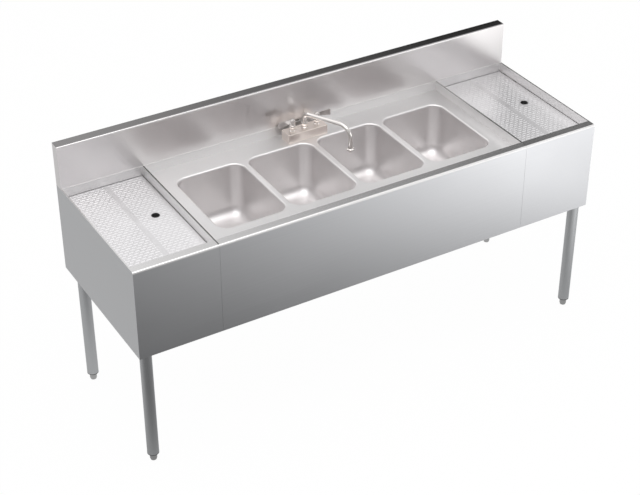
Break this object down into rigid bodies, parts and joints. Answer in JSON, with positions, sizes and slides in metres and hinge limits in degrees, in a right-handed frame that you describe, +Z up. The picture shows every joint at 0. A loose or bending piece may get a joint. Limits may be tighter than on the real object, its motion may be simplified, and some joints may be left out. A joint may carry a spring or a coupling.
{
  "type": "underbar sink",
  "caption": "Long stainless bar sink with drawn bowls between slotted drainboards, a backsplash, a swinging spout between lever handles, and tube legs on screw feet.",
  "frame": {"origin": "on the floor under the middle of the sink's plan rectangle", "axes": "+Z up, -Y towards the front apron, X along the length with +X to the right as seen from the front"},
  "size_m": [1.8288, 0.6096, 0.968],
  "materials": {
    "satin_sheet": "satin brushed stainless sheet",
    "drawn_sheet": "satin drawn stainless sheet",
    "insert_sheet": "brushed perforated stainless sheet",
    "faucet_block": "chrome plated block",
    "polished": "polished chrome",
    "brass": "plain turned brass",
    "rubber": "black rubber",
    "tube": "brushed stainless tube",
    "galvanised": "zinc coated steel",
    "foot": "turned stainless steel",
    "plug": "moulded dark plastic",
    "fastener": "plain steel fastener"
  },
  "bodies": {
    "carcass": {"backsplash": "satin_sheet", "bowl_1": "drawn_sheet", "bowl_2": "drawn_sheet", "bowl_3": "drawn_sheet", "bowl_4": "drawn_sheet", "centre_apron": "satin_sheet", "centre_deck": "satin_sheet", "cold_bonnet": "polished", "cold_cartridge": "brass", "drain_1": "polished", "drain_2": "polished", "drain_3": "polished", "drain_4": "polished", "drain_gaskets": "rubber", "drain_locknuts": "brass", "faucet_body": "faucet_block", "front_rail": "galvanised", "gusset_back_left": "galvanised", "gusset_back_right": "galvanised", "gusset_front_left": "galvanised", "gusset_front_right": "galvanised", "hot_bonnet": "polished", "hot_cartridge": "brass", "left_apron": "satin_sheet", "left_drainboard": "satin_sheet", "left_drainboard_outlet": "brass", "left_leg_channel": "galvanised", "left_side_panel": "satin_sheet", "left_splash_cap": "satin_sheet", "leg_back_left": "tube", "leg_back_right": "tube", "leg_front_left": "tube", "leg_front_right": "tube", "leg_plugs": "plug", "leg_set_screws": "fastener", "rear_rail": "galvanised", "right_apron": "satin_sheet", "right_drainboard": "satin_sheet", "right_drainboard_outlet": "brass", "right_leg_channel": "galvanised", "right_side_panel": "satin_sheet", "right_splash_cap": "satin_sheet", "seam_fasteners": "fastener", "shank_locknuts": "brass", "spout_nut": "polished", "supply_shanks": "brass"},
    "left_insert": {"left_insert": "insert_sheet"},
    "right_insert": {"right_insert": "insert_sheet"},
    "hot_valve": {"hot_stem": "brass", "hot_handle": "polished", "hot_handle_screw": "polished"},
    "cold_valve": {"cold_stem": "brass", "cold_handle": "polished", "cold_handle_screw": "polished"},
    "spout": {"spout": "polished", "aerator": "polished"},
    "foot_front_left": {"foot_front_left": "foot"},
    "foot_front_right": {"foot_front_right": "foot"},
    "foot_back_left": {"foot_back_left": "foot"},
    "foot_back_right": {"foot_back_right": "foot"}
  },
  "joints": [
    {"name": "spout_swivel", "type": "hinge", "parent": "carcass", "child": "spout", "pos_m": [0.007, 0.2165, 0.81], "axis": [0, 0, 1], "range_deg": [-97, 53]},
    {"name": "hot_handle_turn", "type": "hinge", "parent": "carcass", "child": "hot_valve", "pos_m": [-0.0438, 0.2165, 0.81], "axis": [0, 0, 1], "range_deg": [0, 90]},
    {"name": "cold_handle_turn", "type": "hinge", "parent": "carcass", "child": "cold_valve", "pos_m": [0.0578, 0.2165, 0.81], "axis": [0, 0, 1], "range_deg": [-90, 0]},
    {"name": "left_insert_lift", "type": "slide", "parent": "carcass", "child": "left_insert", "axis": [0, 0, 1], "range_m": [0, 0.12]},
    {"name": "right_insert_lift", "type": "slide", "parent": "carcass", "child": "right_insert", "axis": [0, 0, 1], "range_m": [0, 0.12]},
    {"name": "foot_front_left_adjust", "type": "slide", "parent": "carcass", "child": "foot_front_left", "axis": [0, 0, -1], "range_m": [0, 0.025]},
    {"name": "foot_front_right_adjust", "type": "slide", "parent": "carcass", "child": "foot_front_right", "axis": [0, 0, -1], "range_m": [0, 0.025]},
    {"name": "foot_back_left_adjust", "type": "slide", "parent": "carcass", "child": "foot_back_left", "axis": [0, 0, -1], "range_m": [0, 0.025]},
    {"name": "foot_back_right_adjust", "type": "slide", "parent": "carcass", "child": "foot_back_right", "axis": [0, 0, -1], "range_m": [0, 0.025]}
  ]
}
